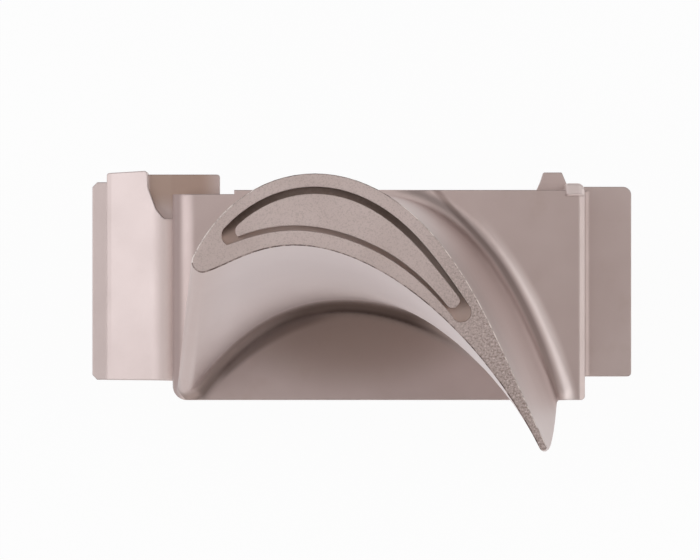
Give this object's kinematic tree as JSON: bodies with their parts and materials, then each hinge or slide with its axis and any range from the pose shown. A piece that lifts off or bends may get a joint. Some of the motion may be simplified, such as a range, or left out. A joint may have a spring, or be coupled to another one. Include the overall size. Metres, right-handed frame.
{
  "type": "turbine blade",
  "caption": "Cast turbine rotor blade: curved airfoil with a grooved tip, platform with forward and aft seal wings, shank and fir-tree root.",
  "frame": {"origin": "centre of the flat bottom of the fir-tree root", "axes": "+Z radially outwards, from the root to the airfoil tip; +X along the engine axis, from the leading edge to the trailing edge; +Y towards the suction side"},
  "size_m": [0.0656, 0.032, 0.095],
  "materials": {
    "blade_alloy": "satin, fine blasted casting surface"
  },
  "bodies": {
    "root": {"turbine_blade": "blade_alloy"}
  },
  "joints": []
}
